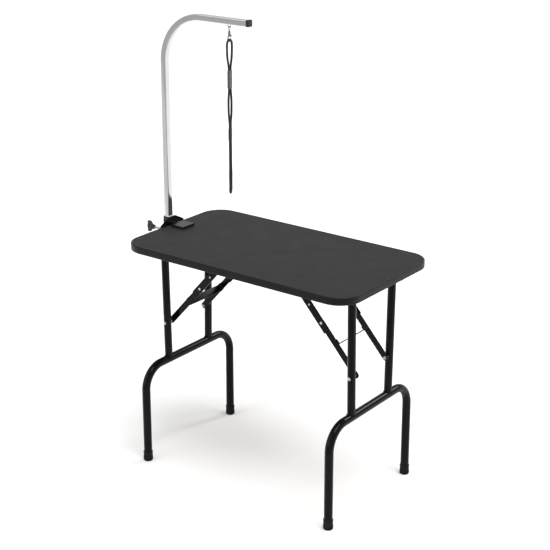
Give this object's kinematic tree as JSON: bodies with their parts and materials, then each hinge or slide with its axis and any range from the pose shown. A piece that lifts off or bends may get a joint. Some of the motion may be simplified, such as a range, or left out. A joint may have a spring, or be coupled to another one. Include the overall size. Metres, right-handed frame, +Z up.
{
  "type": "grooming table",
  "caption": "Folding pet grooming table: rounded padded top on two folding tube leg frames with braces, and a clamped square-tube arm with a snap hook and noose.",
  "frame": {"origin": "on the floor, under the middle of the whole object's box, which includes the arm, clamp and knob", "axes": "+Z up; X along the top's long side with the arm at the -X end; Y across the top"},
  "size_m": [1.029, 0.508, 1.5514],
  "materials": {
    "board": "plain pressed board",
    "mat": "matte, fine texture",
    "trim": "satin moulded edge",
    "black_steel": "semi-gloss black powder coat",
    "rubber": "matte",
    "zinc": "bright zinc plate",
    "chrome": "mirror",
    "plastic": "satin black",
    "nylon": "braided cord",
    "sleeve": "satin dark grey"
  },
  "bodies": {
    "table": {"tabletop_board": "board", "top_mat": "mat", "edge_trim": "trim", "clamp_frame": "black_steel", "jaw_pad": "rubber", "arm_socket": "black_steel", "lock_nut": "black_steel", "left_front_pivot_bracket": "black_steel", "left_front_brace_bracket": "black_steel", "left_rear_pivot_bracket": "black_steel", "left_rear_brace_bracket": "black_steel", "right_front_pivot_bracket": "black_steel", "right_front_brace_bracket": "black_steel", "right_rear_pivot_bracket": "black_steel", "right_rear_brace_bracket": "black_steel"},
    "left_leg_frame": {"left_pivot_tube": "black_steel", "left_u_tube": "black_steel", "left_front_post": "black_steel", "left_front_foot": "rubber", "left_front_brace_bolt": "zinc", "left_rear_post": "black_steel", "left_rear_foot": "rubber", "left_rear_brace_bolt": "zinc"},
    "left_lower_brace": {"left_tie_strip": "black_steel", "left_front_lower_link": "black_steel", "left_rear_lower_link": "black_steel"},
    "left_upper_brace": {"left_front_upper_link": "black_steel", "left_front_middle_rivet": "zinc", "left_rear_upper_link": "black_steel", "left_rear_middle_rivet": "zinc"},
    "right_leg_frame": {"right_pivot_tube": "black_steel", "right_u_tube": "black_steel", "right_front_post": "black_steel", "right_front_foot": "rubber", "right_front_brace_bolt": "zinc", "right_rear_post": "black_steel", "right_rear_foot": "rubber", "right_rear_brace_bolt": "zinc"},
    "right_lower_brace": {"right_tie_strip": "black_steel", "right_front_lower_link": "black_steel", "right_rear_lower_link": "black_steel"},
    "right_upper_brace": {"right_front_upper_link": "black_steel", "right_front_middle_rivet": "zinc", "right_rear_upper_link": "black_steel", "right_rear_middle_rivet": "zinc"},
    "arm": {"arm_tube": "chrome", "arm_end_cap": "plastic", "arm_bottom_plug": "plastic", "arm_eye": "chrome"},
    "arm_lock": {"lock_screw": "zinc", "lock_knob": "plastic"},
    "clamp_pad": {"clamp_screw_pad": "rubber"},
    "clamp_spindle": {"clamp_screw": "zinc", "clamp_handle": "zinc"},
    "snap_swivel": {"snap_swivel": "chrome"},
    "snap_hook": {"snap_hook": "chrome"},
    "snap_bolt": {"snap_bolt": "chrome"},
    "noose": {"noose_cord": "nylon", "noose_sleeve": "sleeve"},
    "noose_slider": {"noose_slider": "plastic"}
  },
  "joints": [
    {"name": "left_leg_fold", "type": "hinge", "parent": "table", "child": "left_leg_frame", "pos_m": [-0.3285, 0, 0.7589], "axis": [0, -1, 0], "range_deg": [0, 90]},
    {"name": "left_lower_brace_fold", "type": "hinge", "parent": "left_leg_frame", "child": "left_lower_brace", "pos_m": [-0.3285, 0, 0.4834], "axis": [0, -1, 0], "range_deg": [0, 52.91]},
    {"name": "left_upper_brace_fold", "type": "hinge", "parent": "table", "child": "left_upper_brace", "pos_m": [-0.0835, 0, 0.7549], "axis": [0, 1, 0], "range_deg": [0, 36.58]},
    {"name": "right_leg_fold", "type": "hinge", "parent": "table", "child": "right_leg_frame", "pos_m": [0.4435, 0, 0.7589], "axis": [0, 1, 0], "range_deg": [0, 85.2]},
    {"name": "right_lower_brace_fold", "type": "hinge", "parent": "right_leg_frame", "child": "right_lower_brace", "pos_m": [0.4435, 0, 0.4834], "axis": [0, 1, 0], "range_deg": [0, 40.64]},
    {"name": "right_upper_brace_fold", "type": "hinge", "parent": "table", "child": "right_upper_brace", "pos_m": [0.1985, 0, 0.7549], "axis": [0, -1, 0], "range_deg": [0, 48.88]},
    {"name": "arm_height", "type": "slide", "parent": "table", "child": "arm", "axis": [0, 0, 1], "range_m": [-0.13, 0.06]},
    {"name": "arm_lock_turn", "type": "hinge", "parent": "table", "child": "arm_lock", "pos_m": [-0.437, 0.008, 0.77], "axis": [1, 0, 0], "continuous": true},
    {"name": "clamp_pad_travel", "type": "slide", "parent": "table", "child": "clamp_pad", "axis": [0, 0, -1], "range_m": [0, 0.03]},
    {"name": "clamp_screw_turn", "type": "hinge", "parent": "clamp_pad", "child": "clamp_spindle", "pos_m": [-0.3725, 0.008, 0.7], "axis": [0, 0, 1], "continuous": true},
    {"name": "hook_swing", "type": "hinge", "parent": "arm", "child": "snap_swivel", "pos_m": [-0.1345, 0.008, 1.5192], "axis": [1, 0, 0], "range_deg": [-60, 60]},
    {"name": "hook_swivel", "type": "hinge", "parent": "snap_swivel", "child": "snap_hook", "pos_m": [-0.1345, 0.008, 1.5062], "axis": [0, 0, 1], "continuous": true},
    {"name": "snap_bolt_slide", "type": "slide", "parent": "snap_hook", "child": "snap_bolt", "axis": [0, 0, 1], "range_m": [0, 0.006], "stiffness_N_per_m": 150, "springref_m": -0.003},
    {"name": "noose_swing", "type": "hinge", "parent": "snap_hook", "child": "noose", "pos_m": [-0.1345, 0.008, 1.4727], "axis": [1, 0, 0], "range_deg": [-20, 20]},
    {"name": "noose_slider_slide", "type": "slide", "parent": "noose", "child": "noose_slider", "axis": [0, 0, 1], "range_m": [-0.08, 0.006]}
  ],
  "couplings": [
    {"joint": "left_lower_brace_fold", "follows": "left_leg_fold", "ratio": 0.58729},
    {"joint": "left_upper_brace_fold", "follows": "left_leg_fold", "ratio": 0.40593},
    {"joint": "right_lower_brace_fold", "follows": "right_leg_fold", "ratio": 0.47642},
    {"joint": "right_upper_brace_fold", "follows": "right_leg_fold", "ratio": 0.57308}
  ]
}
